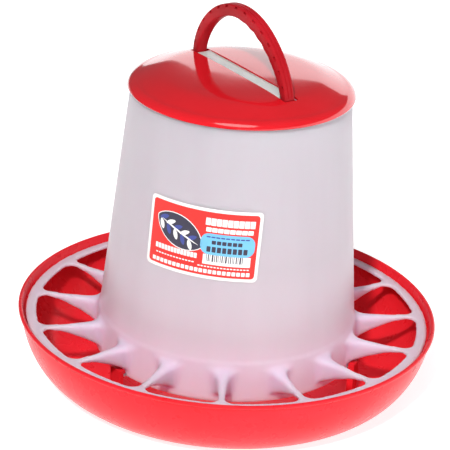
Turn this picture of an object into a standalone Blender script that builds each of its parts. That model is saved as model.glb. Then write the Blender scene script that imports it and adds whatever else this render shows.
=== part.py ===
"""Covered tube feeder for poultry: a red feed pan, a translucent hopper tube with a moulded feeding
grille, a bridge across the hopper's mouth that carries an arched handle, and a slotted lid that
slides up over the handle. Metres, +Z up, the pan's base on Z = 0, the tube's axis on Z."""
import math

import bmesh
import bpy

MM = 0.001

# Feed pan: its wall is an elliptical bowl between a flat base and a turned-out lip
PAN_RIM_R = 190.0
PAN_RIM_Z = 64.0
BOWL_CENTRE_R = 140.0
BOWL_CENTRE_Z = 70.0
BOWL_REACH_R = 48.0
PAN_WALL = 2.8
LEDGE_R = 182.0
LEDGE_Z = 54.0
CONE_TOP_Z = 50.0

# Feeding grille: one flat ring, spokes that deepen towards the tube, and a collar round the tube
GRILLE_TOP_Z = 58.6
RING_OUTER_R = 183.2
RING_INNER_R = 173.4
RING_THICK = 3.6
SPOKES = 15
SPOKE_PHASE = -90.0
COLLAR_LOW_Z = 37.4
COLLAR_GAP = 0.3
COLLAR_WALL = 2.0

# Along each spoke: radius, half its width, and how deep it reaches below the grille's top
SPOKE_STATIONS = (
    (119.9, 10.5, 21.2), (122.5, 8.4, 20.4), (126.5, 6.6, 18.6), (132.0, 5.2, 16.0),
    (139.0, 4.2, 12.4), (148.0, 3.5, 8.6), (158.0, 3.2, 5.2), (165.0, 3.4, 3.8),
    (169.5, 4.6, 3.6), (172.4, 7.2, 3.6), (175.5, 12.5, 3.6),
)

# Hopper tube, tapering upwards
TUBE_BOTTOM_Z = 29.4
TUBE_TOP_Z = 277.0
TUBE_BOTTOM_R = 119.3
TUBE_TOP_R = 96.9
TUBE_WALL = 2.4

# Lid
LID_EDGE_Z = 276.0
LID_EDGE_R = 100.2
LID_TOP_Z = 291.6
SLOT_HALF_WIDTH = 7.5
SLOT_HALF_LENGTH = 72.8
SLOT_LOW_Z = 284.0
NOTCH_FROM = 86.5
NOTCH_TO = 94.6
NOTCH_TOP_Z = 281.6
NOTCH_ROOM = 1.2
CUT_LOW_Z = 260.0
CUT_HIGH_Z = 300.0

# Handle and the bridge under it, both in the upright plane at this bearing
HANDLE_BEARING = -54.0
HANDLE_WIDTH = 10.4
HANDLE_CROWN_Z = 344.2
HANDLE_LEAN = 6.0
HANDLE_SPRING_Z = 288.0
HANDLE_FOOT_Z = 277.4
HANDLE_FULLNESS = 1.57
HANDLE_FOOT_THICK = 8.2
HANDLE_CROWN_THICK = 11.0
HANDLE_BEVEL = 1.6
HANDLE_KNEE_Z = 283.0
BARB_TOP_Z = 281.8
BARB_LOW_Z = 277.9
BARB_ROOT = 0.8
BARB_REACH = 1.8
BARB_TIP = 0.4
BRIDGE_WIDTH = 16.0
BRIDGE_TOP_Z = 287.4
BRIDGE_THICK = 4.0
FOOT_CENTRE = 66.8
FOOT_GAP = 0.35
RIB_WIDTH = 13.8
RIB_TOP_Z = 290.6
RIB_ROOM = 1.5

# Label on the tube
LABEL_FROM = -132.5
LABEL_TO = -76.0
LABEL_LOW_Z = 141.0
LABEL_HIGH_Z = 204.6
LABEL_OFF = 0.15
LABEL_THICK = 0.3
LABEL_COLUMNS = 16
LABEL_ROWS = ((0.0, 0.03), (0.05, 0.0), (0.35, 0.0), (0.65, 0.0), (0.95, 0.0), (1.0, 0.03))

# Catches that hold the hopper down on the pan
CATCH_BEARINGS = (-138.0, -18.0, 102.0)
HOOK_HALF_SWEEP = 2.6
HOOK_R = 120.9
HOOK_LOW_Z = 33.0
POST_FOOT_Z = 1.6
POST_TOP_Z = 36.2
POST_INNER_R = 123.3
POST_OUTER_R = 126.6
STOP_SWEEP = 1.6
STOP_FROM = 4.0
LUG_HALF_SWEEP = 2.2
LUG_ROOT = 1.2
LUG_R = 122.6
LUG_HIGH_Z = 32.4

SEGMENTS = 72


def clear_scene():
    for obj in list(bpy.data.objects):
        bpy.data.objects.remove(obj, do_unlink=True)
    for block in (bpy.data.meshes, bpy.data.materials):
        for item in list(block):
            block.remove(item)


def make_material(name, colour, roughness, alpha=1.0, transmission=0.0):
    mat = bpy.data.materials.new(name)
    mat.use_nodes = True
    shader = mat.node_tree.nodes["Principled BSDF"]
    shader.inputs["Base Color"].default_value = (*colour, 1.0)
    shader.inputs["Roughness"].default_value = roughness
    shader.inputs["Alpha"].default_value = alpha
    shader.inputs["Transmission Weight"].default_value = transmission
    return mat


def finish_mesh(bm, name, mat):
    bmesh.ops.remove_doubles(bm, verts=bm.verts, dist=0.00001)
    bmesh.ops.recalc_face_normals(bm, faces=bm.faces)
    mesh = bpy.data.meshes.new(name)
    bm.to_mesh(mesh)
    bm.free()
    obj = bpy.data.objects.new(name, mesh)
    bpy.context.scene.collection.objects.link(obj)
    if mat is not None:
        mesh.materials.append(mat)
    return obj


def at(radius, degrees, height):
    """A point in metres from a radius and height in millimetres and a bearing."""
    angle = math.radians(degrees)
    return (radius * math.cos(angle) * MM, radius * math.sin(angle) * MM, height * MM)


def revolve(name, profile, segments, mat, start=0.0, sweep=360.0):
    """Turns a closed (radius, height) loop about Z; points at radius 0 become poles."""
    bm = bmesh.new()
    whole = sweep >= 360.0
    count = segments if whole else segments + 1
    rings = []
    for radius, height in profile:
        if radius <= 0.0:
            rings.append([bm.verts.new((0.0, 0.0, height * MM))] * count)
            continue
        ring = []
        for i in range(count):
            ring.append(bm.verts.new(at(radius, start + sweep * i / segments, height)))
        rings.append(ring)
    for j in range(len(rings)):
        low = rings[j]
        high = rings[(j + 1) % len(rings)]
        for i in range(segments):
            k = (i + 1) % count
            corners = []
            for vert in (low[i], low[k], high[k], high[i]):
                if vert not in corners:
                    corners.append(vert)
            if len(corners) >= 3:
                bm.faces.new(corners)
    if not whole:
        bm.faces.new([ring[0] for ring in rings])
        bm.faces.new([ring[-1] for ring in reversed(rings)])
    return finish_mesh(bm, name, mat)


def loft(name, sections, mat):
    """Joins equal-sized loops of points into one closed body, capped at both ends."""
    bm = bmesh.new()
    loops = []
    for points in sections:
        loops.append([bm.verts.new((x * MM, y * MM, z * MM)) for x, y, z in points])
    for low, high in zip(loops, loops[1:]):
        for i in range(len(low)):
            k = (i + 1) % len(low)
            bm.faces.new((low[i], low[k], high[k], high[i]))
    bm.faces.new(loops[0])
    bm.faces.new(list(reversed(loops[-1])))
    return finish_mesh(bm, name, mat)


def box(name, corners, mat=None):
    """A block from (x0, y0, z0) to (x1, y1, z1) in millimetres."""
    (x0, y0, z0), (x1, y1, z1) = corners
    low = [(x0, y0, z0), (x1, y0, z0), (x1, y1, z0), (x0, y1, z0)]
    high = [(x, y, z1) for x, y, _ in low]
    return loft(name, [low, high], mat)


def turn(obj, degrees):
    angle = math.radians(degrees)
    for vert in obj.data.vertices:
        x, y, z = vert.co
        vert.co = (
            x * math.cos(angle) - y * math.sin(angle),
            x * math.sin(angle) + y * math.cos(angle),
            z,
        )
    return obj


def boolean(target, tool, operation):
    mod = target.modifiers.new(operation.lower(), "BOOLEAN")
    mod.operation = operation
    mod.solver = "EXACT"
    mod.object = tool
    graph = bpy.context.evaluated_depsgraph_get()
    result = bpy.data.meshes.new_from_object(target.evaluated_get(graph))
    target.modifiers.clear()
    old = target.data
    target.data = result
    bpy.data.meshes.remove(old)
    bpy.data.objects.remove(tool, do_unlink=True)
    return target


def join(name, parts):
    """Puts separate closed shells into one mesh, used as one tool for a Boolean."""
    bm = bmesh.new()
    for part in parts:
        bm.from_mesh(part.data)
        bpy.data.objects.remove(part, do_unlink=True)
    mesh = bpy.data.meshes.new(name)
    bm.to_mesh(mesh)
    bm.free()
    obj = bpy.data.objects.new(name, mesh)
    bpy.context.scene.collection.objects.link(obj)
    return obj


def tube_r(height):
    """Outer radius of the tapering tube."""
    share = (height - TUBE_BOTTOM_Z) / (TUBE_TOP_Z - TUBE_BOTTOM_Z)
    return TUBE_BOTTOM_R + (TUBE_TOP_R - TUBE_BOTTOM_R) * share


def bowl_arc(wall, top_z, steps):
    """Points up the bowl's outline, from its flat bottom to top_z, set in by the wall's thickness."""
    reach_r, reach_z = BOWL_REACH_R - wall, BOWL_CENTRE_Z - wall
    end = math.acos((BOWL_CENTRE_Z - top_z) / reach_z)
    angles = [end * i / steps for i in range(steps + 1)]
    return [
        (BOWL_CENTRE_R + reach_r * math.sin(a), BOWL_CENTRE_Z - reach_z * math.cos(a))
        for a in angles
    ]


def make_pan(mat):
    cone = [
        (0.0, CONE_TOP_Z), (10.0, CONE_TOP_Z - 3.4), (18.0, 40.5), (54.0, 8.4), (61.0, 4.2),
        (70.0, PAN_WALL),
    ]
    under_cone = [
        (70.0, 0.0), (61.5, 1.6), (52.5, 5.4), (16.5, 37.5), (8.5, 43.8),
        (0.0, CONE_TOP_Z - PAN_WALL),
    ]
    ledge = [(LEDGE_R, LEDGE_Z), (184.6, LEDGE_Z + 0.4)]
    lip = [
        (186.4, PAN_RIM_Z - 3.2), (188.2, PAN_RIM_Z), (189.6, PAN_RIM_Z - 0.4),
        (PAN_RIM_R, PAN_RIM_Z - 1.6), (189.2, PAN_RIM_Z - 4.0),
    ]
    inside = bowl_arc(PAN_WALL, LEDGE_Z - 10.0, 6)
    outside = bowl_arc(0.0, LEDGE_Z + 1.0, 7)
    profile = cone + inside + ledge + lip + list(reversed(outside)) + under_cone
    pan = revolve("feed_pan", profile, SEGMENTS, mat)
    for bearing in CATCH_BEARINGS:
        post = [
            (POST_INNER_R, POST_FOOT_Z), (POST_OUTER_R, POST_FOOT_Z), (POST_OUTER_R, POST_TOP_Z),
            (HOOK_R, POST_TOP_Z), (HOOK_R, HOOK_LOW_Z), (POST_INNER_R, HOOK_LOW_Z),
        ]
        from_bearing = bearing - HOOK_HALF_SWEEP
        boolean(pan, revolve("post", post, 3, None, from_bearing, 2 * HOOK_HALF_SWEEP), "UNION")
        stop = [
            (HOOK_R, POST_FOOT_Z), (POST_OUTER_R, POST_FOOT_Z),
            (POST_OUTER_R, POST_TOP_Z), (HOOK_R, POST_TOP_Z),
        ]
        boolean(pan, revolve("stop", stop, 1, None, bearing - STOP_FROM, STOP_SWEEP), "UNION")
    return pan


def make_tube(mat):
    bands = (TUBE_BOTTOM_Z, 60.0, 160.0, 268.0, TUBE_TOP_Z)
    outer = [(tube_r(height), height) for height in bands]
    inner = [(tube_r(height) - TUBE_WALL, height) for height in bands]
    tube = revolve("hopper_tube", outer + list(reversed(inner)), SEGMENTS, mat)
    for bearing in CATCH_BEARINGS:
        root = TUBE_BOTTOM_R - LUG_ROOT
        lug = [(root, TUBE_BOTTOM_Z), (LUG_R, TUBE_BOTTOM_Z), (LUG_R, LUG_HIGH_Z), (root, LUG_HIGH_Z)]
        from_bearing = bearing - LUG_HALF_SWEEP
        boolean(tube, revolve("lug", lug, 2, None, from_bearing, 2 * LUG_HALF_SWEEP), "UNION")
    return tube


def make_spoke(bearing):
    sections = []
    for radius, half, depth in SPOKE_STATIONS:
        low = GRILLE_TOP_Z - depth
        high = GRILLE_TOP_Z
        corners = ((-half, low), (half, low), (half, high), (-half, high))
        sections.append([(radius, across, height) for across, height in corners])
    return turn(loft("spoke", sections, None), bearing)


def make_grille(mat):
    ring_low = GRILLE_TOP_Z - RING_THICK
    ring = [
        (RING_INNER_R, ring_low), (RING_OUTER_R, ring_low),
        (RING_OUTER_R, GRILLE_TOP_Z), (RING_INNER_R, GRILLE_TOP_Z),
    ]
    grille = revolve("feed_grille", ring, SEGMENTS, mat)
    low = COLLAR_LOW_Z
    collar = [
        (tube_r(low) + COLLAR_GAP, low), (tube_r(low) + COLLAR_GAP + COLLAR_WALL, low),
        (tube_r(GRILLE_TOP_Z) + COLLAR_GAP + COLLAR_WALL, GRILLE_TOP_Z),
        (tube_r(GRILLE_TOP_Z) + COLLAR_GAP, GRILLE_TOP_Z),
    ]
    step = 360.0 / SPOKES
    spokes = join("spokes", [make_spoke(SPOKE_PHASE + step * k) for k in range(SPOKES)])
    boolean(grille, spokes, "UNION")
    return boolean(grille, revolve("collar", collar, SEGMENTS, None), "UNION")


def make_lid(mat):
    outer = [
        (0.0, LID_TOP_Z), (30.0, 291.5), (58.0, 291.0), (70.0, 290.1), (79.0, 287.9), (87.0, 285.2),
        (93.0, 282.6), (96.8, 280.6), (99.2, 278.4), (LID_EDGE_R, LID_EDGE_Z),
    ]
    inner = [
        (98.0, LID_EDGE_Z), (97.4, 277.4), (93.8, 279.4), (93.4, 268.0), (91.6, 268.0), (91.4, 280.8),
        (86.0, 283.2), (78.4, 285.9), (69.6, 288.1), (58.0, 289.0), (30.0, 289.5), (0.0, 289.6),
    ]
    lid = revolve("lid", outer + inner, SEGMENTS, mat)
    slot = box("slot", (
        (-SLOT_HALF_LENGTH, -SLOT_HALF_WIDTH, SLOT_LOW_Z),
        (SLOT_HALF_LENGTH, SLOT_HALF_WIDTH, CUT_HIGH_Z),
    ))
    boolean(lid, turn(slot, HANDLE_BEARING), "DIFFERENCE")
    half = BRIDGE_WIDTH / 2 + NOTCH_ROOM
    for side in (-1.0, 1.0):
        near, far = sorted((side * NOTCH_FROM, side * NOTCH_TO))
        notch = box("notch", ((near, -half, CUT_LOW_Z), (far, half, NOTCH_TOP_Z)))
        boolean(lid, turn(notch, HANDLE_BEARING), "DIFFERENCE")
    return lid


def make_bridge(mat):
    """A strap over the tube's mouth, stepping down at both ends, with a rib that fills the lid's slot."""
    half = BRIDGE_WIDTH / 2
    top = [(-94.6, 266.0), (-94.0, 273.6), (-87.0, 279.0), (-79.0, 283.4), (-71.5, BRIDGE_TOP_Z)]
    low = [
        (-91.6, 266.0), (-91.0, 272.0), (-85.0, 276.0), (-77.0, 279.8),
        (-70.6, BRIDGE_TOP_Z - BRIDGE_THICK),
    ]
    top += [(-s, z) for s, z in reversed(top)]
    low += [(-s, z) for s, z in reversed(low)]
    outline = top + list(reversed(low))
    sections = [[(s, y, z) for s, z in outline] for y in (-half, half)]
    bridge = loft("handle_bridge", sections, mat)
    reach = HANDLE_FOOT_THICK / 2 + FOOT_GAP
    across = HANDLE_WIDTH / 2 + FOOT_GAP
    rib_end = FOOT_CENTRE - reach - RIB_ROOM
    rib_half = RIB_WIDTH / 2
    rib = box("rib", (
        (-rib_end, -rib_half, BRIDGE_TOP_Z - BRIDGE_THICK / 2),
        (rib_end, rib_half, RIB_TOP_Z),
    ))
    boolean(bridge, rib, "UNION")
    for side in (-1.0, 1.0):
        centre = side * FOOT_CENTRE
        hole = box("hole", (
            (centre - reach, -across, CUT_LOW_Z),
            (centre + reach, across, CUT_HIGH_Z),
        ))
        boolean(bridge, hole, "DIFFERENCE")
    return turn(bridge, HANDLE_BEARING)


def handle_path(steps=26):
    """Centre line and thickness from the left foot over the crown to the right foot."""
    low = [(HANDLE_FOOT_Z, HANDLE_FOOT_THICK), (HANDLE_KNEE_Z, HANDLE_FOOT_THICK)]
    climb = HANDLE_CROWN_Z - HANDLE_SPRING_Z
    path = [(-FOOT_CENTRE, z, thick) for z, thick in low]
    for i in range(steps + 1):
        angle = math.pi * i / steps
        rise = max(math.sin(angle), 0.0)
        along = -FOOT_CENTRE * math.cos(angle) - HANDLE_LEAN * rise
        height = HANDLE_SPRING_Z + climb * rise ** (2.0 / HANDLE_FULLNESS)
        thick = HANDLE_FOOT_THICK + (HANDLE_CROWN_THICK - HANDLE_FOOT_THICK) * rise
        path.append((along, height, thick))
    return path + [(FOOT_CENTRE, z, thick) for z, thick in reversed(low)]


def make_handle(mat):
    path = handle_path()
    half = HANDLE_WIDTH / 2
    sections = []
    for i, (s, z, thick) in enumerate(path):
        ahead = path[min(i + 1, len(path) - 1)]
        behind = path[max(i - 1, 0)]
        ds, dz = ahead[0] - behind[0], ahead[1] - behind[1]
        if z <= HANDLE_SPRING_Z:
            ds, dz = 0.0, (1.0 if s < 0 else -1.0)
        size = math.hypot(ds, dz)
        ns, nz = -dz / size, ds / size
        h = thick / 2
        bevel = HANDLE_BEVEL
        loop = [
            (-h, -half + bevel), (-h, half - bevel), (-h + bevel, half), (h - bevel, half),
            (h, half - bevel), (h, -half + bevel), (h - bevel, -half), (-h + bevel, -half),
        ]
        sections.append([(s + ns * out, across, z + nz * out) for out, across in loop])
    handle = loft("handle", sections, mat)
    for side in (-1.0, 1.0):
        outside = FOOT_CENTRE + HANDLE_FOOT_THICK / 2
        barb = [
            (outside - BARB_ROOT, BARB_TOP_Z), (outside + BARB_REACH, BARB_TOP_Z),
            (outside + BARB_TIP, BARB_LOW_Z), (outside - BARB_ROOT, BARB_LOW_Z),
        ]
        inset = half - BARB_REACH
        sections = [[(side * s, y, z) for s, z in barb] for y in (-inset, inset)]
        boolean(handle, loft("barb", sections, None), "UNION")
    return turn(handle, HANDLE_BEARING)


def make_label(mat):
    """A thin sticker that follows the tube, with clipped corners."""
    columns = LABEL_COLUMNS
    rows = LABEL_ROWS
    bm = bmesh.new()
    skins = []
    for lift in (LABEL_OFF, LABEL_OFF + LABEL_THICK):
        skin = []
        for share, inset in rows:
            height = LABEL_LOW_Z + (LABEL_HIGH_Z - LABEL_LOW_Z) * share
            radius = tube_r(height) + lift
            row = []
            for i in range(columns + 1):
                along = inset + (1.0 - 2.0 * inset) * i / columns
                bearing = LABEL_FROM + (LABEL_TO - LABEL_FROM) * along
                row.append(bm.verts.new(at(radius, bearing, height)))
            skin.append(row)
        skins.append(skin)
    last = len(rows) - 1
    for skin in skins:
        for j in range(last):
            for i in range(columns):
                bm.faces.new((skin[j][i], skin[j][i + 1], skin[j + 1][i + 1], skin[j + 1][i]))
    edge = [(0, i) for i in range(columns)] + [(j, columns) for j in range(last)]
    edge += [(last, columns - i) for i in range(columns)] + [(last - j, 0) for j in range(last)]
    for (j0, i0), (j1, i1) in zip(edge, edge[1:] + edge[:1]):
        bm.faces.new((skins[0][j0][i0], skins[0][j1][i1], skins[1][j1][i1], skins[1][j0][i0]))
    return finish_mesh(bm, "label", mat)


def main():
    clear_scene()
    pan_red = make_material("pan_red", (0.75, 0.02, 0.03), 0.25)
    tube_white = make_material("tube_white", (0.86, 0.82, 0.85), 0.35)
    grille_white = make_material("grille_white", (0.86, 0.82, 0.85), 0.35)
    bridge_white = make_material("bridge_white", (0.88, 0.84, 0.86), 0.35)
    lid_red = make_material("lid_red", (0.75, 0.02, 0.03), 0.12)
    handle_red = make_material("handle_red", (0.62, 0.015, 0.025), 0.25)
    label_print = make_material("label_print", (0.80, 0.06, 0.04), 0.4)
    make_pan(pan_red)
    make_tube(tube_white)
    make_grille(grille_white)
    make_bridge(bridge_white)
    make_lid(lid_red)
    make_handle(handle_red)
    make_label(label_print)


main()
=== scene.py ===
"""Looks of the covered tube feeder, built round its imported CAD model.

Lengths are in millimetres unless a name ends in _M, and angles are in degrees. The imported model's own
boxes give the driving sizes."""
import math

import bmesh
import bpy
from mathutils import Matrix, Vector


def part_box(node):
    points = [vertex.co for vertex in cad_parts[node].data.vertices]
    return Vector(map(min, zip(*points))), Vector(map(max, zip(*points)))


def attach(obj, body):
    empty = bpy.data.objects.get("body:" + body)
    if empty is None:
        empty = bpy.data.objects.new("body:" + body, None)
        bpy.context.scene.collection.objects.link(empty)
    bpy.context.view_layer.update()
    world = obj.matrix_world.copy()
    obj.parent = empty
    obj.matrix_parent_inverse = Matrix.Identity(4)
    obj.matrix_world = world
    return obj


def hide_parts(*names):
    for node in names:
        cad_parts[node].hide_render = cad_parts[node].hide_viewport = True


MM = 0.001

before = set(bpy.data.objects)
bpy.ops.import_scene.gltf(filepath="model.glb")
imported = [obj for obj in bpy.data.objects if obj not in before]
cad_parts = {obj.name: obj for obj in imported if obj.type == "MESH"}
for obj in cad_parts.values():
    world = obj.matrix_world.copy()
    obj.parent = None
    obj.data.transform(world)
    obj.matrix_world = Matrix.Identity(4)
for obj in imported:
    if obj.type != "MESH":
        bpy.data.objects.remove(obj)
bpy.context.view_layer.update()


def box_mm(node):
    """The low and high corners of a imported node, in millimetres."""
    low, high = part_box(node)
    return [v / MM for v in low], [v / MM for v in high]


PAN_HIGH = box_mm("feed_pan")[1]
TUBE_LOW, TUBE_HIGH = box_mm("hopper_tube")
GRILLE_HIGH = box_mm("feed_grille")[1]
LID_HIGH = box_mm("lid")[1]
HANDLE_LOW, HANDLE_HIGH = box_mm("handle")
BRIDGE_HIGH = box_mm("handle_bridge")[1]
LABEL_LOW, LABEL_HIGH = box_mm("label")

PAN_R = PAN_HIGH[0]
PAN_TOP = PAN_HIGH[2]
GRILLE_TOP = GRILLE_HIGH[2]
RING_R = GRILLE_HIGH[0]
RING_WIDTH = 9.8
RING_THICK = 3.8
SKIRT_Z = TUBE_LOW[2]
SKIRT_R = 119.3
TUBE_TOP_Z = TUBE_HIGH[2]
TUBE_TOP_R = 96.9
TUBE_WALL = 2.4
SPOKES = 15
SPOKE_PITCH = 360.0 / SPOKES
SPOKE_PHASE = -90.0
LID_TOP = LID_HIGH[2]
LID_R = LID_HIGH[0]
LID_EDGE_Z = LID_TOP - 15.6
HANDLE_BEARING = -54.0


# ---------------------------------------------------------------- mesh helpers

def at(radius, angle, height):
    """A point in metres from a radius and height in millimetres and an angle in radians."""
    return (radius * math.cos(angle) * MM, radius * math.sin(angle) * MM, height * MM)


def link(name, mesh, mat):
    obj = bpy.data.objects.new(name, mesh)
    bpy.context.scene.collection.objects.link(obj)
    if mat is not None:
        mesh.materials.append(mat)
    return obj


def finish(bm, name, mat, sharp=35.0):
    """Merges doubles, turns the faces out and shades the mesh smooth up to the sharp angle."""
    bmesh.ops.remove_doubles(bm, verts=bm.verts, dist=0.000004)
    bmesh.ops.recalc_face_normals(bm, faces=bm.faces)
    mesh = bpy.data.meshes.new(name)
    bm.to_mesh(mesh)
    bm.free()
    obj = link(name, mesh, mat)
    smooth(obj, sharp)
    return obj


def smooth(obj, sharp=35.0):
    obj.data.shade_smooth()
    obj.data.set_sharp_from_angle(angle=math.radians(sharp))


def arc(centre, radius, start, end, steps):
    """Points (r, z) on a circle's arc, from one angle to another in degrees."""
    angles = [math.radians(start + (end - start) * i / steps) for i in range(steps + 1)]
    return [(centre[0] + radius * math.cos(a), centre[1] + radius * math.sin(a)) for a in angles]


def revolve_mesh(profile, segments, start=0.0, sweep=360.0):
    """Turns a closed (radius, height) loop about Z. Points at radius 0 become poles."""
    bm = bmesh.new()
    whole = sweep >= 360.0
    count = segments if whole else segments + 1
    rings = []
    for radius, height in profile:
        if radius <= 0.0:
            rings.append([bm.verts.new((0.0, 0.0, height * MM))] * count)
            continue
        ring = []
        for i in range(count):
            angle = math.radians(start + sweep * i / segments)
            ring.append(bm.verts.new(at(radius, angle, height)))
        rings.append(ring)
    for j, low in enumerate(rings):
        high = rings[(j + 1) % len(rings)]
        for i in range(segments):
            k = (i + 1) % count
            corners = []
            for vert in (low[i], low[k], high[k], high[i]):
                if vert not in corners:
                    corners.append(vert)
            if len(corners) >= 3:
                bm.faces.new(corners)
    if not whole:
        bm.faces.new([ring[0] for ring in rings])
        bm.faces.new([ring[-1] for ring in reversed(rings)])
    return bm


def revolve(name, profile, segments, mat, start=0.0, sweep=360.0, sharp=35.0):
    return finish(revolve_mesh(profile, segments, start, sweep), name, mat, sharp)


def loft(name, sections, mat, sharp=35.0):
    """Joins equal loops of millimetre points into one closed body."""
    bm = bmesh.new()
    loops = [[bm.verts.new(Vector(p) * MM) for p in points] for points in sections]
    for low, high in zip(loops, loops[1:]):
        for i in range(len(low)):
            k = (i + 1) % len(low)
            bm.faces.new((low[i], low[k], high[k], high[i]))
    bm.faces.new(loops[0])
    bm.faces.new(list(reversed(loops[-1])))
    return finish(bm, name, mat, sharp)


def turn(obj, degrees):
    obj.data.transform(Matrix.Rotation(math.radians(degrees), 4, "Z"))
    return obj


def apply_modifiers(obj):
    graph = bpy.context.evaluated_depsgraph_get()
    result = bpy.data.meshes.new_from_object(obj.evaluated_get(graph))
    obj.modifiers.clear()
    old = obj.data
    obj.data = result
    bpy.data.meshes.remove(old)
    return obj


def boolean(target, tool, operation, sharp=35.0):
    mod = target.modifiers.new("cut", "BOOLEAN")
    mod.operation = operation
    mod.solver = "EXACT"
    mod.object = tool
    apply_modifiers(target)
    bpy.data.objects.remove(tool, do_unlink=True)
    smooth(target, sharp)
    return target


def bevel(obj, width, segments=3, angle=40.0):
    mod = obj.modifiers.new("bevel", "BEVEL")
    mod.width = width * MM
    mod.segments = segments
    mod.limit_method = "ANGLE"
    mod.angle_limit = math.radians(angle)
    apply_modifiers(obj)
    smooth(obj, 50.0)
    return obj


def join(name, parts):
    bm = bmesh.new()
    for part in parts:
        bm.from_mesh(part.data)
        bpy.data.objects.remove(part, do_unlink=True)
    mesh = bpy.data.meshes.new(name)
    bm.to_mesh(mesh)
    bm.free()
    return link(name, mesh, None)


def block(name, low, high, mat=None):
    (x0, y0, z0), (x1, y1, z1) = low, high
    base = [(x0, y0, z0), (x1, y0, z0), (x1, y1, z0), (x0, y1, z0)]
    return loft(name, [base, [(x, y, z1) for x, y, _ in base]], mat)


def tube_r(height):
    """Outer radius of the hopper's wall."""
    share = (height - SKIRT_Z) / (TUBE_TOP_Z - SKIRT_Z)
    return SKIRT_R + (TUBE_TOP_R - SKIRT_R) * share


# ---------------------------------------------------------------- materials

def new_material(name):
    mat = bpy.data.materials.new(name)
    mat.use_nodes = True
    tree = mat.node_tree
    return mat, tree, tree.nodes["Principled BSDF"]


def add_node(tree, kind, **inputs):
    node = tree.nodes.new(kind)
    for key, value in inputs.items():
        node.inputs[key.replace("_", " ")].default_value = value
    return node


def noise(tree, scale, detail=3.0, stretch=(1.0, 1.0, 1.0), rough=0.5):
    """Noise in object space; a small stretch value draws it out along that axis."""
    coords = tree.nodes.new("ShaderNodeTexCoord")
    mapping = tree.nodes.new("ShaderNodeMapping")
    mapping.inputs["Scale"].default_value = stretch
    tree.links.new(coords.outputs["Object"], mapping.inputs["Vector"])
    tex = add_node(tree, "ShaderNodeTexNoise", Scale=scale, Detail=detail, Roughness=rough)
    tree.links.new(mapping.outputs["Vector"], tex.inputs["Vector"])
    return tex.outputs["Fac"]


def ramp(tree, source, stops):
    node = tree.nodes.new("ShaderNodeValToRGB")
    while len(node.color_ramp.elements) > 1:
        node.color_ramp.elements.remove(node.color_ramp.elements[0])
    for i, (place, colour) in enumerate(stops):
        element = node.color_ramp.elements[0] if i == 0 else node.color_ramp.elements.new(place)
        element.position = place
        element.color = (*colour, 1.0)
    tree.links.new(source, node.inputs["Fac"])
    return node.outputs["Color"]


def vary(tree, source, low, high):
    node = tree.nodes.new("ShaderNodeMapRange")
    node.inputs["To Min"].default_value = low
    node.inputs["To Max"].default_value = high
    tree.links.new(source, node.inputs["Value"])
    return node.outputs["Result"]


def bump(tree, shader, layers):
    """Chains bump layers of (height output, distance in mm, strength)."""
    normal = None
    for height, distance, strength in layers:
        node = add_node(tree, "ShaderNodeBump", Strength=strength, Distance=distance * MM)
        tree.links.new(height, node.inputs["Height"])
        if normal is not None:
            tree.links.new(normal, node.inputs["Normal"])
        normal = node.outputs["Normal"]
    tree.links.new(normal, shader.inputs["Normal"])


def glossy_red(name, deep, bright, roughness, wave, coat=0.0, shine=0.5):
    """Moulded gloss plastic: faint flow marks in its colour, fine haze, and a slightly wavy surface."""
    mat, tree, shader = new_material(name)
    flow = noise(tree, 14.0, 4.0, (1.0, 1.0, 2.5))
    tree.links.new(ramp(tree, flow, [(0.3, deep), (0.7, bright)]), shader.inputs["Base Color"])
    haze = noise(tree, 60.0, 5.0)
    tree.links.new(vary(tree, haze, roughness * 0.7, roughness * 1.5), shader.inputs["Roughness"])
    shader.inputs["Specular IOR Level"].default_value = shine
    shader.inputs["Coat Weight"].default_value = coat
    shader.inputs["Coat Roughness"].default_value = 0.03
    shader.inputs["Subsurface Weight"].default_value = 0.08
    shader.inputs["Subsurface Radius"].default_value = (0.004, 0.0006, 0.0006)
    shader.inputs["Subsurface Scale"].default_value = 1.0
    bump(tree, shader, [
        (noise(tree, 16.0, 1.5), wave, 1.0),
        (noise(tree, 900.0, 2.0), 0.01, 0.5),
    ])
    return mat


# Painted red bounce light from the pan: the milky plastic's colour is multiplied by this pink, starting
# at the first height and full at the second, lower one.
PAINTED_PAN_BOUNCE = (1.27, 1.19, 1.27, 1.0)
PAN_BOUNCE_FROM_M, PAN_BOUNCE_FULL_M = 0.150, 0.055


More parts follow.
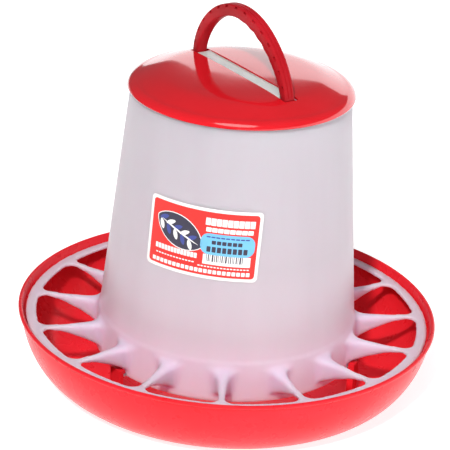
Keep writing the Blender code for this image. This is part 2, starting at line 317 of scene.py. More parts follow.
def milky_plastic(name, tint, roughness=0.36):
    """Unpigmented moulded plastic that lets some light through, with drawn-out vertical streaks: faint
    painted highlight bands in its colour, also used as a bump.
    Towards the red pan its colour is multiplied towards pink, a painted red bounce light from the pan."""
    mat, tree, shader = new_material(name)
    # Faint painted highlight bands: the stretched noise makes the colour a little lighter and darker in
    # vertical streaks, and also bumps the surface.
    streaks = noise(tree, 22.0, 3.0, (1.0, 1.0, 0.06))
    light = tuple(min(c * 1.03, 1.0) for c in tint)
    dark = tuple(c * 0.96 for c in tint)
    body = ramp(tree, streaks, [(0.3, dark), (0.7, light)])
    place = tree.nodes.new("ShaderNodeTexCoord")
    split = tree.nodes.new("ShaderNodeSeparateXYZ")
    tree.links.new(place.outputs["Object"], split.inputs["Vector"])
    # Painted red bounce light: multiplies the colour towards pink, more strongly nearer the pan.
    painted_bounce = tree.nodes.new("ShaderNodeMix")
    painted_bounce.data_type = "RGBA"
    painted_bounce.blend_type = "MULTIPLY"
    painted_bounce.inputs["B"].default_value = PAINTED_PAN_BOUNCE
    near_pan = tree.nodes.new("ShaderNodeMapRange")
    near_pan.inputs["From Min"].default_value = PAN_BOUNCE_FROM_M
    near_pan.inputs["From Max"].default_value = PAN_BOUNCE_FULL_M
    tree.links.new(split.outputs["Z"], near_pan.inputs["Value"])
    tree.links.new(near_pan.outputs["Result"], painted_bounce.inputs["Factor"])
    tree.links.new(body, painted_bounce.inputs["A"])
    tree.links.new(painted_bounce.outputs["Result"], shader.inputs["Base Color"])
    haze = noise(tree, 45.0, 4.0)
    tree.links.new(vary(tree, haze, roughness * 0.8, roughness * 1.25), shader.inputs["Roughness"])
    shader.inputs["Subsurface Weight"].default_value = 0.85
    shader.inputs["Subsurface Radius"].default_value = (0.016, 0.011, 0.013)
    shader.inputs["Subsurface Scale"].default_value = 1.0
    bump(tree, shader, [
        (streaks, 0.12, 0.6),
        (noise(tree, 700.0, 2.0), 0.015, 0.5),
    ])
    return mat


def print_ink(name, colour, roughness=0.32):
    """Ink on film: a little uneven in colour and gloss, with paper-fine grain."""
    mat, tree, shader = new_material(name)
    blot = noise(tree, 120.0, 4.0)
    dark = tuple(c * 0.92 for c in colour)
    tree.links.new(ramp(tree, blot, [(0.35, dark), (0.65, colour)]), shader.inputs["Base Color"])
    sheen = vary(tree, noise(tree, 300.0), roughness * 0.85, roughness * 1.2)
    tree.links.new(sheen, shader.inputs["Roughness"])
    bump(tree, shader, [(noise(tree, 1500.0, 2.0), 0.01, 0.4)])
    return mat


PAN_RED = glossy_red(
    "pan_red", (0.74, 0.014, 0.022), (0.82, 0.021, 0.034), 0.26, 0.10, shine=0.22,
)
LID_RED = glossy_red(
    "lid_red", (0.66, 0.008, 0.014), (0.72, 0.012, 0.020), 0.10, 0.45, coat=0.9,
)
HANDLE_RED = glossy_red(
    "handle_red", (0.37, 0.008, 0.013), (0.52, 0.014, 0.024), 0.34, 0.05, shine=0.10,
)
MILKY = milky_plastic("milky_plastic", (0.56, 0.50, 0.575))
# The bridge is the same milky plastic, in a brighter copy whose lighter tint is painted light on its
# top.
LIT_BRIDGE_WHITE = milky_plastic("bridge_plastic_painted_lit", (0.80, 0.76, 0.78))
LABEL_WHITE = print_ink("label_white", (0.90, 0.89, 0.88))
LABEL_RED = print_ink("label_red", (0.80, 0.020, 0.014))
LABEL_BLUE = print_ink("label_blue", (0.17, 0.52, 0.80))
LABEL_DARK = print_ink("label_dark", (0.035, 0.03, 0.06))
LABEL_NAVY = print_ink("label_navy", (0.05, 0.07, 0.30))


# ---------------------------------------------------------------- feed pan

BOWL_CENTRE = (140.0, 70.0)
BOWL_REACH_R = 48.0
PAN_WALL = 2.8
LEDGE_R = 182.0
LEDGE_Z = 54.0
CONE_TOP = 50.0
CATCH_BEARINGS = (-138.0, -18.0, 102.0)
HOOK_R, HOOK_LOW, HOOK_SWEEP = 120.9, 33.0, 2.6
POST_IN, POST_OUT, POST_FOOT, POST_TOP = 123.3, 126.6, 1.2, 36.2
STOP_FROM, STOP_SWEEP = 4.0, 1.6
LUG_R, LUG_TOP, LUG_SWEEP = 122.6, 32.4, 2.2
FOOT_RINGS = (138.0, 112.0, 84.0)


def bowl_arc(wall, top_z, steps):
    """The bowl's quarter ellipse, a wall's thickness in, from its floor up to top_z."""
    reach_r, reach_z = BOWL_REACH_R - wall, BOWL_CENTRE[1] - wall
    end = math.acos((BOWL_CENTRE[1] - top_z) / reach_z)
    angles = [end * i / steps for i in range(steps + 1)]
    return [
        (BOWL_CENTRE[0] + reach_r * math.sin(a), BOWL_CENTRE[1] - reach_z * math.cos(a))
        for a in angles
    ]


def build_pan():
    """The bowl with its cone, ledge, lip and foot rings, and three hooked posts with their stops."""
    cone = [(0.0, CONE_TOP), (3.0, CONE_TOP - 0.4), (7.0, CONE_TOP - 2.0), (11.0, CONE_TOP - 4.8)]
    cone += [(18.0, 40.5), (54.0, 8.4), (57.5, 6.0), (61.5, 4.2), (66.0, 3.1), (70.0, PAN_WALL)]
    under = [(70.5, 0.0), (69.5, 0.4), (62.0, 1.4), (52.5, 5.4)]
    under += [(16.5, 37.5), (8.5, 43.8), (0.0, CONE_TOP - PAN_WALL)]
    rings = []
    for radius in FOOT_RINGS:
        rings += [(radius + 1.2, 0.0), (radius + 0.6, 0.5)]
        rings += [(radius - 0.6, 0.5), (radius - 1.2, 0.0)]
    inside = bowl_arc(PAN_WALL, LEDGE_Z - 8.0, 18)
    ledge = [(LEDGE_R, LEDGE_Z - 0.8), (LEDGE_R + 0.3, LEDGE_Z - 0.2), (LEDGE_R + 1.0, LEDGE_Z)]
    ledge += [(184.2, LEDGE_Z + 0.1), (184.8, LEDGE_Z + 0.8)]
    lip = arc((PAN_R - 1.9, PAN_TOP - 1.9), 1.9, 165.0, -60.0, 12)
    under_lip = [(PAN_R - 2.6, PAN_TOP - 4.4), (PAN_R - 3.0, PAN_TOP - 6.6)]
    outside = list(reversed(bowl_arc(0.0, LEDGE_Z + 1.0, 22)))
    profile = cone + inside + ledge + lip + under_lip + outside + rings + under
    pan = revolve("feed_pan_shell", profile, 224, None)
    for bearing in CATCH_BEARINGS:
        post = [
            (POST_IN, POST_FOOT), (POST_OUT, POST_FOOT),
            (POST_OUT, POST_TOP - 0.6), (POST_OUT - 0.6, POST_TOP),
            (HOOK_R + 0.5, POST_TOP), (HOOK_R, POST_TOP - 0.5),
            (HOOK_R, HOOK_LOW + 0.3), (POST_IN, HOOK_LOW),
        ]
        boolean(pan, revolve("post", post, 6, None, bearing - HOOK_SWEEP, 2 * HOOK_SWEEP), "UNION")
        stop = [
            (HOOK_R, POST_FOOT), (POST_OUT, POST_FOOT),
            (POST_OUT, POST_TOP - 0.3), (HOOK_R, POST_TOP - 0.3),
        ]
        boolean(pan, revolve("stop", stop, 2, None, bearing - STOP_FROM, STOP_SWEEP), "UNION")
    pan.data.materials.clear()
    pan.data.materials.append(PAN_RED)
    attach(pan, "pan")
    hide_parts("feed_pan")
    return pan


# ---------------------------------------------------------------- hopper moulding

FOOT_TOP = 76.0
FOOT_LOW = SKIRT_Z + 2.4
STEP_Z = 66.0
STEP_OUT = 0.9
VOXEL = 1.15
SPOKE_FROM, SPOKE_FULL, SPOKE_STEPS = 116.0, 117.0, 29
SECTOR_START, SECTOR_SWEEP = -9.0, 27.0
SMOOTH_ALL, SMOOTH_ROOTS, ROOTS_TO = 8, 14, 158.0


def spoke_half(u):
    """Half-width of a spoke at radius u: a wide root that narrows, then flares into the ring."""
    root = 4.8 * math.exp(-(u - SPOKE_FULL) / 14.0)
    fillet = 5.5 * math.exp(-(u - SPOKE_FULL) / 2.4)
    flare = 7.0 * max(0.0, (u - 166.5) / 7.0) ** 2
    return 2.9 + root + fillet + flare


def spoke_depth(u):
    """Depth of a spoke's web below the grille's top at radius u."""
    return RING_THICK + 18.5 * max(0.0, (168.0 - u) / 48.0) ** 1.35


def sector_block():
    """A rough solid of one spoke, its stretch of ring and the tube's foot, wider than a sector."""
    steps = round(SECTOR_SWEEP)
    low, high = SKIRT_Z, FOOT_TOP + 8.0
    wall = [
        (tube_r(low), low), (tube_r(STEP_Z) + STEP_OUT, STEP_Z - 0.6), (tube_r(STEP_Z), STEP_Z + 0.6),
        (tube_r(high), high), (tube_r(high) - TUBE_WALL, high), (tube_r(low) - TUBE_WALL, low),
    ]
    ring_low = GRILLE_TOP - RING_THICK
    ring_in = RING_R - RING_WIDTH
    ring = [(ring_in, ring_low), (RING_R, ring_low), (RING_R, GRILLE_TOP), (ring_in, GRILLE_TOP)]
    parts = [
        revolve(name, profile, steps, None, SECTOR_START, SECTOR_SWEEP)
        for name, profile in (("wall", wall), ("ring", ring))
    ]
    sections = []
    for i in range(SPOKE_STEPS + 1):
        u = SPOKE_FROM + (RING_R - RING_WIDTH + 2.0 - SPOKE_FROM) * i / SPOKE_STEPS
        half, depth = spoke_half(u), spoke_depth(u)
        swell = 3.6 * math.exp(-(u - SPOKE_FULL) / 3.6)
        z0, z1 = GRILLE_TOP - depth, GRILLE_TOP + swell
        drop = min(0.5 * half, 3.6) * min(1.0, max(0.0, (172.0 - u) / 10.0))
        ridge = [(half, z1 - drop), (0.86 * half, z1 - 0.5 * drop), (0.5 * half, z1 - 0.14 * drop)]
        across = [(-half, z0), (half, z0)] + ridge + [(-y, z) for y, z in reversed(ridge)]
        sections.append([(u, y, z) for y, z in across])
    parts.append(loft("spoke", sections, None))
    return join("sector", parts)


def relaxed_half_sector():
    """Remeshes the rough solid, relaxes its corners into moulded fillets, and keeps half a pitch."""
    sector = sector_block()
    mod = sector.modifiers.new("remesh", "REMESH")
    mod.mode = "VOXEL"
    mod.voxel_size = VOXEL * MM
    apply_modifiers(sector)
    bm = bmesh.new()
    bm.from_mesh(sector.data)
    bpy.data.objects.remove(sector, do_unlink=True)
    axes = {"use_axis_x": True, "use_axis_y": True, "use_axis_z": True}
    for _ in range(SMOOTH_ALL):
        bmesh.ops.smooth_vert(bm, verts=bm.verts, factor=0.5, **axes)
    near, far = (SKIRT_R + 0.4) * MM, ROOTS_TO * MM
    roots = [v for v in bm.verts if near < math.hypot(v.co.x, v.co.y) < far]
    for _ in range(SMOOTH_ROOTS):
        bmesh.ops.smooth_vert(bm, verts=roots, factor=0.5, **axes)
    half = math.radians(SPOKE_PITCH / 2)
    cuts = (
        ((0, 0, 0), (0, -1, 0)),
        ((0, 0, 0), (-math.sin(half), math.cos(half), 0)),
        ((0, 0, FOOT_TOP * MM), (0, 0, 1)),
        ((0, 0, FOOT_LOW * MM), (0, 0, -1)),
    )
    for place, away in cuts:
        everything = list(bm.verts) + list(bm.edges) + list(bm.faces)
        bmesh.ops.bisect_plane(
            bm, geom=everything, dist=1e-7, plane_co=place, plane_no=away, clear_outer=True
        )
    return bm


FOOT_BLEND = 5.0
BLEND_FROM_Z = FOOT_TOP - 6.0
RISES = 8
MOUTH_ROUND = 0.6
SKIRT_ROUND = 0.5
LUG_ROOT = 1.2


def extrude_walls(bm, edges, z, from_z, round_off):
    """Extrudes the edges of the tube's outer and inner wall to height z, and returns the new edges."""
    out = bmesh.ops.extrude_edge_only(bm, edges=edges)
    for vert in (g for g in out["geom"] if isinstance(g, bmesh.types.BMVert)):
        reach = math.hypot(vert.co.x, vert.co.y)
        outer = reach > (tube_r(from_z) - TUBE_WALL / 2) * MM
        target = tube_r(z) - round_off if outer else tube_r(z) - TUBE_WALL + round_off
        vert.co.x *= target * MM / reach
        vert.co.y *= target * MM / reach
        vert.co.z = z * MM
    return [g for g in out["geom"] if isinstance(g, bmesh.types.BMEdge)]


def build_hopper():
    """Thirty half sectors, run down to the skirt's edge and up to the mouth, with three lugs."""
    half = relaxed_half_sector()
    mesh = bpy.data.meshes.new("half")
    half.to_mesh(mesh)
    half.free()
    whole = bmesh.new()
    for k in range(SPOKES):
        for side in (1.0, -1.0):
            copy = mesh.copy()
            swing = Matrix.Rotation(math.radians(SPOKE_PHASE + SPOKE_PITCH * k), 4, "Z")
            copy.transform(swing @ Matrix.Diagonal((1, side, 1, 1)))
            if side < 0:
                copy.flip_normals()
            whole.from_mesh(copy)
            bpy.data.meshes.remove(copy)
    bpy.data.meshes.remove(mesh)
    bmesh.ops.remove_doubles(whole, verts=whole.verts, dist=0.02 * MM)
    middle = tube_r(FOOT_TOP) - TUBE_WALL / 2
    for vert in whole.verts:
        if vert.co.z > BLEND_FROM_Z * MM:
            reach = math.hypot(vert.co.x, vert.co.y)
            z = vert.co.z / MM
            target = tube_r(z) if reach > middle * MM else tube_r(z) - TUBE_WALL
            blend = min((z - BLEND_FROM_Z) / FOOT_BLEND, 1.0)
            grow = 1.0 + (target * MM / reach - 1.0) * blend
            vert.co.x *= grow
            vert.co.y *= grow
    open_edges = [e for e in whole.edges if e.is_boundary]
    foot = [e for e in open_edges if e.verts[0].co.z < (FOOT_LOW + 1.0) * MM]
    rim = [e for e in open_edges if e.verts[0].co.z > (FOOT_LOW + 1.0) * MM]
    foot = extrude_walls(whole, foot, SKIRT_Z + 0.6, SKIRT_Z + 0.6, 0.0)
    foot = extrude_walls(whole, foot, SKIRT_Z, SKIRT_Z, SKIRT_ROUND)
    bmesh.ops.bridge_loops(whole, edges=foot)
    last_z = FOOT_TOP
    for i in range(1, RISES + 1):
        z = FOOT_TOP + (TUBE_TOP_Z - 1.0 - FOOT_TOP) * i / RISES
        rim = extrude_walls(whole, rim, z, last_z, 0.0)
        last_z = z
    rim = extrude_walls(whole, rim, TUBE_TOP_Z, last_z, MOUTH_ROUND)
    bmesh.ops.bridge_loops(whole, edges=rim)
    lug_low = SKIRT_Z + 0.2
    lug = [
        (SKIRT_R - LUG_ROOT, lug_low), (LUG_R - 0.4, lug_low), (LUG_R, lug_low + 0.4),
        (LUG_R, LUG_TOP - 0.4), (LUG_R - 0.4, LUG_TOP), (SKIRT_R - LUG_ROOT, LUG_TOP),
    ]
    for bearing in CATCH_BEARINGS:
        piece = revolve("lug", lug, 4, None, bearing - LUG_SWEEP, 2 * LUG_SWEEP)
        whole.from_mesh(piece.data)
        bpy.data.objects.remove(piece, do_unlink=True)
    hopper = finish(whole, "hopper_moulding", MILKY, 50.0)
    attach(hopper, "hopper")
    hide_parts("hopper_tube", "feed_grille")
    return hopper


# ---------------------------------------------------------------- bridge, lid and handle

FOOT_CENTRE = 66.8
FOOT_HALF = 4.1
FOOT_ROOM = 0.35
HANDLE_WIDTH = 10.4
RIB_TOP = BRIDGE_HIGH[2]
RIB_WIDTH = 13.8
BRIDGE_TOP = RIB_TOP - 3.2
BRIDGE_HALF = 8.0


def build_bridge():
    """The crossbar over the tube's mouth, with the raised rib that fills the lid's slot."""
    top = [(-94.6, 266.0), (-94.3, 270.0), (-93.6, 273.8), (-87.0, 279.0)]
    top += [(-79.0, 283.4), (-75.0, 285.8), (-71.5, BRIDGE_TOP)]
    low = [(-91.6, 266.0), (-91.4, 269.4), (-90.6, 272.2), (-85.0, 276.0)]
    low += [(-77.0, 279.8), (-73.4, 282.0), (-70.6, BRIDGE_TOP - 4.0)]
    top += [(-s, z) for s, z in reversed(top)]
    low += [(-s, z) for s, z in reversed(low)]
    outline = top + list(reversed(low))
    sections = [[(s, y, z) for s, z in outline] for y in (-BRIDGE_HALF, BRIDGE_HALF)]
    bridge = loft("bridge_moulding", sections, None)
    rib_end = FOOT_CENTRE - FOOT_HALF - 1.85
    rib = block("rib", (-rib_end, -RIB_WIDTH / 2, BRIDGE_TOP - 4.0), (rib_end, RIB_WIDTH / 2, RIB_TOP))
    boolean(bridge, rib, "UNION")
    for side in (-1.0, 1.0):
        reach, across = FOOT_HALF + FOOT_ROOM, HANDLE_WIDTH / 2 + FOOT_ROOM
        near, far = side * FOOT_CENTRE - reach, side * FOOT_CENTRE + reach
        hole = block("hole", (near, -across, 270.0), (far, across, 295.0))
        boolean(bridge, hole, "DIFFERENCE")
    bevel(bridge, 0.5, 2)
    bridge.data.materials.clear()
    # The brighter copy of the milky plastic: painted light on the bridge.
    bridge.data.materials.append(LIT_BRIDGE_WHITE)
    turn(bridge, HANDLE_BEARING)
    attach(bridge, "hopper")
    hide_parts("handle_bridge")
    return bridge


SLOT_HALF_LENGTH, SLOT_HALF_WIDTH, SLOT_CORNER = 72.8, 7.5, 2.0
NOTCH_FROM, NOTCH_TO, NOTCH_HALF, NOTCH_TOP = 86.5, 94.6, 9.2, 281.6


def build_lid():
    """The dished lid with its rolled edge and locating flange, slotted for the handle."""
    crown = [(0.0, 0.0), (20.0, 0.0), (40.0, 0.15), (56.0, 0.6), (66.0, 1.2), (71.0, 1.9)]
    crown += [(75.0, 2.9), (79.0, 4.1), (84.0, 5.8), (89.0, 7.6), (92.6, 9.0), (93.4, 9.1)]
    edge = [(95.4, 9.8), (97.4, 11.0), (99.0, 12.6), (99.9, 14.2)]
    crown = [(radius, LID_TOP - fall) for radius, fall in crown + edge]
    edge = [(LID_R, LID_EDGE_Z + 0.5), (LID_R - 0.3, LID_EDGE_Z)]
    edge += [(98.2, LID_EDGE_Z), (97.9, LID_EDGE_Z + 0.4)]
    under = [(97.4, 277.4), (96.0, 278.5), (93.9, 279.4), (93.5, 268.6), (93.1, 268.0)]
    under += [(92.0, 268.0), (91.6, 268.6), (91.4, 280.8), (86.0, 283.2), (78.4, 285.9)]
    under += [(69.6, 288.1), (58.0, 289.0), (30.0, 289.5), (0.0, LID_TOP - 2.0)]
    lid = revolve("lid_shell", crown + edge + under, 192, None)
    long, wide, corner = SLOT_HALF_LENGTH, SLOT_HALF_WIDTH, SLOT_CORNER
    end = [(long - corner, -wide), (long - 0.6, -wide + 0.6), (long, -wide + corner)]
    end += [(long, wide - corner), (long - 0.6, wide - 0.6), (long - corner, wide)]
    ends = [(side * x, side * y) for side in (1.0, -1.0) for x, y in end]
    slot = loft("slot", [[(x, y, z) for x, y in ends] for z in (284.0, 300.0)], None)
    boolean(lid, turn(slot, HANDLE_BEARING), "DIFFERENCE")
    for side in (-1.0, 1.0):
        near, far = sorted((side * NOTCH_FROM, side * NOTCH_TO))
        notch = block("notch", (near, -NOTCH_HALF, 260.0), (far, NOTCH_HALF, NOTCH_TOP))
        boolean(lid, turn(notch, HANDLE_BEARING), "DIFFERENCE")
    lid.data.materials.clear()
    lid.data.materials.append(LID_RED)
    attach(lid, "lid")
    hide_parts("lid")
    return lid


HANDLE_SPRING_Z = 288.0
HANDLE_CROWN_THICK = 11.0
HANDLE_FOOT_THICK = 8.2
HANDLE_CROWN_Z = HANDLE_HIGH[2] - HANDLE_CROWN_THICK / 2
HANDLE_FULLNESS = 1.57
HANDLE_LEAN = 6.0
HANDLE_FOOT_Z = HANDLE_LOW[2]
HANDLE_LEGS = (HANDLE_FOOT_Z, 280.0, 283.0, 285.6)
HANDLE_STEPS = 150
GRIP_FROM, GRIP_SPAN, GRIP_DEPTH, GRIP_PERIOD = 0.5, 0.32, 0.9, 0.064
GROOVE = 0.7
CORNER = 1.5
POCKET_FIRST, POCKET_PITCH, POCKET_DEEP = 20.0, 13.0, 1.4
BARB_TOP, BARB_LOW, BARB_REACH = 281.8, 277.9, 1.8


def handle_path():
    """Centre line (s, z), thickness and arc share along the handle, from the left foot to the right."""
    path = [(-FOOT_CENTRE, z, HANDLE_FOOT_THICK, 0.0) for z in HANDLE_LEGS]
    for i in range(HANDLE_STEPS + 1):
        angle = math.pi * i / HANDLE_STEPS
        rise = max(math.sin(angle), 0.0)
        z = HANDLE_SPRING_Z + (HANDLE_CROWN_Z - HANDLE_SPRING_Z) * rise ** (2.0 / HANDLE_FULLNESS)
        thick = HANDLE_FOOT_THICK + (HANDLE_CROWN_THICK - HANDLE_FOOT_THICK) * rise
        along = -FOOT_CENTRE * math.cos(angle) - HANDLE_LEAN * rise
        path.append((along, z, thick, i / HANDLE_STEPS))
    return path + [(FOOT_CENTRE, z, HANDLE_FOOT_THICK, 1.0) for z in reversed(HANDLE_LEGS)]


def handle_frames():
    """The handle's path with its unit direction (ds, dz) at each point; the feet run straight up."""
    path = handle_path()
    frames = []
    for i, (s, z, thick, share) in enumerate(path):
        ahead, behind = path[min(i + 1, len(path) - 1)], path[max(i - 1, 0)]
        ds, dz = ahead[0] - behind[0], ahead[1] - behind[1]
        if z < HANDLE_SPRING_Z:
            ds, dz = 0.0, (1.0 if s < 0 else -1.0)
        size = math.hypot(ds, dz)
        frames.append((s, z, thick, share, ds / size, dz / size))
    return frames


def finger_grip(share):
    """How far the finger scallops stand in from the handle's inner face, by its arc share."""
    past = share - GRIP_FROM
    if not 0.0 < past < GRIP_SPAN:
        return 0.0
    scallop = abs(math.sin(past * math.pi / GRIP_PERIOD))
    return GRIP_DEPTH * scallop * max(math.sin(past / GRIP_SPAN * math.pi), 0.0) ** 0.5


def build_handle():
    """A swept bar: rounded corners, two grooves along its back, finger scallops, and side pockets."""
    width = HANDLE_WIDTH / 2
    frames = handle_frames()
    sections = []
    for s, z, thick, share, ds, dz in frames:
        half = thick / 2
        groove = GROOVE if 0.02 < share < 0.98 else 0.0
        r = CORNER
        inner = -half - finger_grip(share)
        loop = [(inner + r, -width), (inner + r * 0.3, -width + r * 0.3), (inner, -width + r)]
        loop += [(inner, 0.0), (inner, width - r), (inner + r * 0.3, width - r * 0.3)]
        loop += [(inner + r, width)]
        loop += [(0.0, width), (half - r, width), (half - r * 0.3, width - r * 0.3), (half, width - r)]
        loop += [(half, 2.6), (half - groove, 2.2), (half - groove, 1.4), (half, 1.0), (half, -1.0)]
        loop += [(half - groove, -1.4), (half - groove, -2.2), (half, -2.6), (half, -width + r)]
        loop += [(half - r * 0.3, -width + r * 0.3), (half - r, -width), (0.0, -width)]
        sections.append([(s - dz * out, across, z + ds * out) for out, across in loop])
    handle = loft("handle_bar", sections, None)
    pockets = []
    travelled, last = 0.0, None
    next_stop = POCKET_FIRST
    for s, z, thick, share, ds, dz in frames:
        if last is not None:
            travelled += math.hypot(s - last[0], z - last[1])
        last = (s, z)
        if travelled < next_stop or z < HANDLE_SPRING_Z + 4.0:
            continue
        next_stop += POCKET_PITCH
        low, high = thick / 2 - 3.2, thick / 2 - 1.0
        outline = ((-2.4, low), (2.4, low), (1.8, high), (-1.8, high))
        for side in (-1.0, 1.0):
            rings = [
                [(s + ds * u - dz * out, across, z + dz * u + ds * out) for u, out in outline]
                for across in (side * (width - POCKET_DEEP), side * (width + 1.0))
            ]
            pockets.append(loft("pocket", rings, None))
    boolean(handle, join("pockets", pockets), "DIFFERENCE")
    for side in (-1.0, 1.0):
        face = side * (FOOT_CENTRE + FOOT_HALF - 0.8)
        tip = side * (FOOT_CENTRE + FOOT_HALF + BARB_REACH)
        low_tip = side * (FOOT_CENTRE + FOOT_HALF + 0.4)
        barb = [(face, BARB_TOP), (tip, BARB_TOP), (low_tip, BARB_LOW), (face, BARB_LOW)]
        sections = [[(s, y, z) for s, z in barb] for y in (-width + 1.8, width - 1.8)]
        boolean(handle, loft("barb", sections, None), "UNION")
    handle.data.materials.clear()
    handle.data.materials.append(HANDLE_RED)
    turn(handle, HANDLE_BEARING)
    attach(handle, "hopper")
    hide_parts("handle")
    return handle


# ---------------------------------------------------------------- label

LABEL_FROM, LABEL_TO = -132.5, -76.0
LABEL_W = 104.0
LABEL_TURN = 1.2
LABEL_SHRINK = 0.985
LABEL_H = LABEL_HIGH[2] - LABEL_LOW[2]
PRINT_STEP = 3.0
PRINT_LOW, PRINT_BASE, PRINT_LAYER = 0.25, 0.45, 0.05
BAR_WIDTHS = (0.5, 0.9, 0.4, 1.3, 0.6, 0.8, 0.4)
BAR_GAPS = (1.0, 0.8, 1.4, 0.9)
BARS = 19


def label_point(x, y, lift):
    """A point on the tube from label coordinates in millimetres, x from its left, y from its bottom."""
    turned = math.radians(LABEL_TURN)
    across, up = (x - LABEL_W / 2) * LABEL_SHRINK, (y - LABEL_H / 2) * LABEL_SHRINK
    z = (LABEL_LOW[2] + LABEL_HIGH[2]) / 2 + up * math.cos(turned) - across * math.sin(turned)
    across = across * math.cos(turned) + up * math.sin(turned)
    angle = math.radians((LABEL_FROM + LABEL_TO) / 2) + across / tube_r(z)
    radius = tube_r(z) + lift
    return Vector(at(radius, angle, z))


def outline_box(x0, y0, x1, y1, corner=0.0, steps=5):
    """A rectangle, with round corners if a corner radius is given."""
    if corner <= 0.0:
        return [(x0, y0), (x1, y0), (x1, y1), (x0, y1)]
    left, right, low, high = x0 + corner, x1 - corner, y0 + corner, y1 - corner
    points = []
    centres = ((right, low), (right, high), (left, high), (left, low))
    for centre, start in zip(centres, (-90, 0, 90, 180)):
        points += arc(centre, corner, start, start + 90, steps)
    return points


def outline_leaf(cx, cy, length, width, tilt, steps=8):
    """A pointed grain: two arcs from tip to tip."""
    a = math.radians(tilt)
    points = []
    for i in range(2 * steps):
        t = 2 * math.pi * i / (2 * steps)
        x = math.cos(t) * length / 2
        y = math.sin(t) * abs(math.sin(t)) ** 0.4 * width / 2
        across, up = x * math.cos(a) - y * math.sin(a), x * math.sin(a) + y * math.cos(a)
        points.append((cx + across, cy + up))
    return points


def label_shape(bm, outline, level, slot_index):
    """A flat inked shape that follows the tube: a top skin with a thin side wall down to the label."""
    flat = bmesh.new()
    verts = [flat.verts.new((x, y, 0.0)) for x, y in outline]
    flat.faces.new(verts)
    xs = [x for x, _ in outline]
    stop = math.floor(max(xs) / PRINT_STEP) * PRINT_STEP
    place = math.ceil(min(xs) / PRINT_STEP) * PRINT_STEP
    while place <= stop:
        geom = list(flat.verts) + list(flat.edges) + list(flat.faces)
        bmesh.ops.bisect_plane(flat, geom=geom, dist=1e-4, plane_co=(place, 0, 0), plane_no=(1, 0, 0))
        place += PRINT_STEP
    top, bottom = PRINT_BASE + PRINT_LAYER * level, PRINT_LOW
    upper = {v: bm.verts.new(label_point(v.co.x, v.co.y, top)) for v in flat.verts}
    lower = {v: bm.verts.new(label_point(v.co.x, v.co.y, bottom)) for v in flat.verts}
    for face in flat.faces:
        loop = list(face.verts)
        bm.faces.new([upper[v] for v in loop]).material_index = slot_index
        bm.faces.new([lower[v] for v in reversed(loop)]).material_index = slot_index
    for edge in flat.edges:
        if edge.is_boundary:
            a, b = edge.verts
            bm.faces.new((upper[a], upper[b], lower[b], lower[a])).material_index = slot_index
    flat.free()


def row(bm, across, up, count, gap, level, slot_index):
    """A row of plain blocks that stands in for a line of print."""
    width = (across[1] - across[0] + gap) / count - gap
    for i in range(count):
        left = across[0] + i * (width + gap)
        label_shape(bm, outline_box(left, up[0], left + width, up[1], 0.4, 2), level, slot_index)


def build_label():
    """The sticker: white film, red field, a grain emblem, a blue panel, plain blocks and a bar code."""
    inks = (LABEL_WHITE, LABEL_RED, LABEL_BLUE, LABEL_DARK, LABEL_NAVY)
    white, red, blue, dark, navy = range(5)
    bm = bmesh.new()
    h, w = LABEL_H, LABEL_W
    label_shape(bm, outline_box(0.0, 0.0, w, h, 4.0), -2, white)
    label_shape(bm, outline_box(2.9, 2.9, w - 2.9, h - 2.9, 3.0), 1, red)
    label_shape(bm, outline_leaf(31.0, 37.5, 49.0, 29.0, -24.0, 16), 2, white)
    label_shape(bm, outline_leaf(31.0, 37.5, 47.4, 27.4, -24.0, 16), 3, dark)
    for i in range(5):
        along, rise = 15.5 + 7.0 * i, 44.4 - 3.1 * i
        upper, lower = (white, navy) if i % 2 else (navy, white)
        label_shape(bm, outline_leaf(along, rise + 2.4, 9.6, 4.0, 22.0), 4, upper)
        label_shape(bm, outline_leaf(along - 1.6, rise - 4.4, 9.6, 4.0, -72.0), 4, lower)
    label_shape(bm, outline_leaf(31.5, 37.0, 40.0, 1.6, -24.0), 5, white)
    row(bm, (54.5, 97.5), (48.8, 55.4), 9, 0.45, 2, white)
    row(bm, (55.5, 96.5), (42.9, 46.9), 8, 0.5, 2, white)
    label_shape(bm, outline_box(51.5, 22.4, 99.0, 41.6, 7.5), 3, blue)
    row(bm, (56.5, 94.0), (37.8, 39.0), 9, 0.7, 4, navy)
    row(bm, (61.5, 88.0), (32.0, 35.4), 6, 0.9, 4, dark)
    row(bm, (57.5, 93.0), (24.8, 29.8), 8, 1.1, 4, dark)
    label_shape(bm, outline_box(55.0, 13.4, 96.5, 22.4), 2, white)
    place = 58.0
    for i in range(BARS):
        thick = BAR_WIDTHS[i % len(BAR_WIDTHS)]
        label_shape(bm, outline_box(place, 16.2, place + thick, 22.4), 3, dark)
        place += thick + BAR_GAPS[i % len(BAR_GAPS)]
    row(bm, (9.0, 49.5), (17.0, 21.6), 13, 0.5, 2, white)
    row(bm, (10.0, 47.5), (12.6, 13.7), 13, 0.7, 2, white)
    row(bm, (51.0, 96.0), (10.6, 11.7), 16, 0.7, 2, white)
    row(bm, (7.0, 97.0), (5.0, 8.6), 22, 0.9, 2, white)
    bmesh.ops.recalc_face_normals(bm, faces=bm.faces)
    mesh = bpy.data.meshes.new("label_print")
    bm.to_mesh(mesh)
    bm.free()
    label = link("label_print", mesh, None)
    for ink in inks:
        mesh.materials.append(ink)
    smooth(label, 30.0)
    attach(label, "hopper")
    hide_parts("label")
    return label


# ---------------------------------------------------------------- stage

FLOOR_DARK, FLOOR_LIGHT = (0.60, 0.60, 0.605), (0.63, 0.63, 0.635)
FLOOR_GLOW = 0.8
FLOOR_HALF_M, FLOOR_DROP_M = 6.0, 0.0004


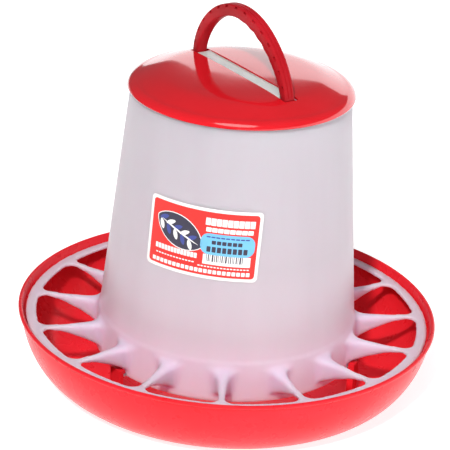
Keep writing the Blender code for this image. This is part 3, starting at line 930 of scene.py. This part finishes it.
def build_floor():
    """A plain pale floor with a little glow of its own, which keeps the shadows faint."""
    mat, tree, shader = new_material("floor_pale")
    grain = ramp(tree, noise(tree, 3.0, 2.0), [(0.3, FLOOR_DARK), (0.7, FLOOR_LIGHT)])
    tree.links.new(grain, shader.inputs["Base Color"])
    shader.inputs["Roughness"].default_value = 0.6
    shader.inputs["Emission Color"].default_value = (1.0, 1.0, 1.0, 1.0)
    shader.inputs["Emission Strength"].default_value = FLOOR_GLOW
    bm = bmesh.new()
    bmesh.ops.create_grid(bm, x_segments=8, y_segments=8, size=FLOOR_HALF_M)
    mesh = bpy.data.meshes.new("floor")
    bm.to_mesh(mesh)
    bm.free()
    floor = link("floor", mesh, mat)
    floor.location.z = -FLOOR_DROP_M


def aim(obj, target):
    direction = Vector(target) - obj.location
    obj.rotation_euler = direction.to_track_quat("-Z", "Y").to_euler()


def area_light(name, place, target, size, power, colour=(1.0, 1.0, 1.0)):
    data = bpy.data.lights.new(name, "AREA")
    data.shape = "DISK"
    data.size = size
    data.energy = power
    data.color = colour
    obj = bpy.data.objects.new(name, data)
    bpy.context.scene.collection.objects.link(obj)
    obj.location = place
    aim(obj, target)
    return obj


KEY_PLACE_M, KEY_ENERGY, KEY_ANGLE = (-0.50, -1.85, 2.05), 2.4, 4.0
FILL_PLACE_M, FILL_SIZE_M, FILL_WATTS = (-0.1, -1.3, 2.3), 1.4, 15.0
GLOW_PLACE_M, GLOW_SIZE_M, GLOW_WATTS = (0.0, 0.0, 0.085), 0.17, 0.14
WALL_WHITE, WALL_DARK = (0.98, 0.98, 1.0), (0.075, 0.075, 0.08)
WALL_STRENGTH = 1.4
HORIZON = 20.06
HORIZON_SOFT = 0.005
HORIZON_TILT = (-0.1, 0.0, 1.0)
LEFT_TILT, LEFT_SHIFT = (-1.5, 0.0, 1.0), 0.05


def tilted_height(tree, coords, tilt):
    """The height of a direction above a tilted horizon."""
    node = tree.nodes.new("ShaderNodeVectorMath")
    node.operation = "DOT_PRODUCT"
    node.inputs[1].default_value = tilt
    tree.links.new(coords.outputs["Generated"], node.inputs[0])
    return node.outputs["Value"]


def build_world():
    """White surroundings up to a low horizon and dark above it, as a gloss lid mirrors them. A second,
    steeper edge ends the white further down on the left."""
    world = bpy.data.worlds.new("studio")
    bpy.context.scene.world = world
    world.use_nodes = True
    tree = world.node_tree
    back = tree.nodes["Background"]
    coords = tree.nodes.new("ShaderNodeTexCoord")
    lower = tree.nodes.new("ShaderNodeMath")
    lower.operation = "SUBTRACT"
    lower.inputs[1].default_value = LEFT_SHIFT
    tree.links.new(tilted_height(tree, coords, LEFT_TILT), lower.inputs[0])
    higher = tree.nodes.new("ShaderNodeMath")
    higher.operation = "MAXIMUM"
    tree.links.new(tilted_height(tree, coords, HORIZON_TILT), higher.inputs[0])
    tree.links.new(lower.outputs["Value"], higher.inputs[1])
    edge = math.sin(math.radians(HORIZON))
    stops = [(0.0, WALL_WHITE), (edge, WALL_WHITE)]
    stops += [(edge + HORIZON_SOFT, WALL_DARK), (1.0, WALL_DARK)]
    tree.links.new(ramp(tree, higher.outputs["Value"], stops), back.inputs["Color"])
    back.inputs["Strength"].default_value = WALL_STRENGTH


def build_lights():
    """A sharp key from the front left, a soft fill, and a faint glow inside the hopper, which stands
    for the daylight that its milky wall lets through."""
    data = bpy.data.lights.new("key", "SUN")
    data.energy = KEY_ENERGY
    data.angle = math.radians(KEY_ANGLE)
    data.color = (1.0, 0.985, 0.97)
    key = bpy.data.objects.new("key", data)
    bpy.context.scene.collection.objects.link(key)
    key.location = KEY_PLACE_M
    aim(key, (0.0, 0.0, 0.15))
    key.visible_glossy = False
    area_light("front_fill", FILL_PLACE_M, (0.0, 0.0, 0.1), FILL_SIZE_M, FILL_WATTS)
    cool = (0.93, 0.96, 1.0)
    area_light("through_hopper", GLOW_PLACE_M, (0.0, 0.0, 0.0), GLOW_SIZE_M, GLOW_WATTS, cool)
    build_world()


CAMERA_ELEVATION = 23.95
CAMERA_ROLL = 3.75
CAMERA_DISTANCE_M = 1.95
CAMERA_TARGET_M = (-0.0068, 0.0, 0.1446)
CAMERA_LENS = 173.6
SENSOR = 36.0


def build_camera():
    data = bpy.data.cameras.new("camera")
    data.lens = CAMERA_LENS
    data.sensor_width = SENSOR
    camera = bpy.data.objects.new("camera", data)
    bpy.context.scene.collection.objects.link(camera)
    e, roll = math.radians(CAMERA_ELEVATION), math.radians(CAMERA_ROLL)
    back = Vector((0.0, -math.cos(e), math.sin(e)))
    right, up = Vector((1.0, 0.0, 0.0)), Vector((0.0, math.sin(e), math.cos(e)))
    x_axis = right * math.cos(roll) + up * math.sin(roll)
    y_axis = up * math.cos(roll) - right * math.sin(roll)
    place = Vector(CAMERA_TARGET_M) + back * CAMERA_DISTANCE_M
    camera.matrix_world = Matrix((x_axis, y_axis, back)).transposed().to_4x4()
    camera.location = place
    bpy.context.scene.camera = camera


build_camera()
build_pan()
build_hopper()
build_bridge()
build_lid()
build_handle()
build_label()
build_floor()
build_lights()
bpy.context.scene.view_settings.view_transform = "Standard"
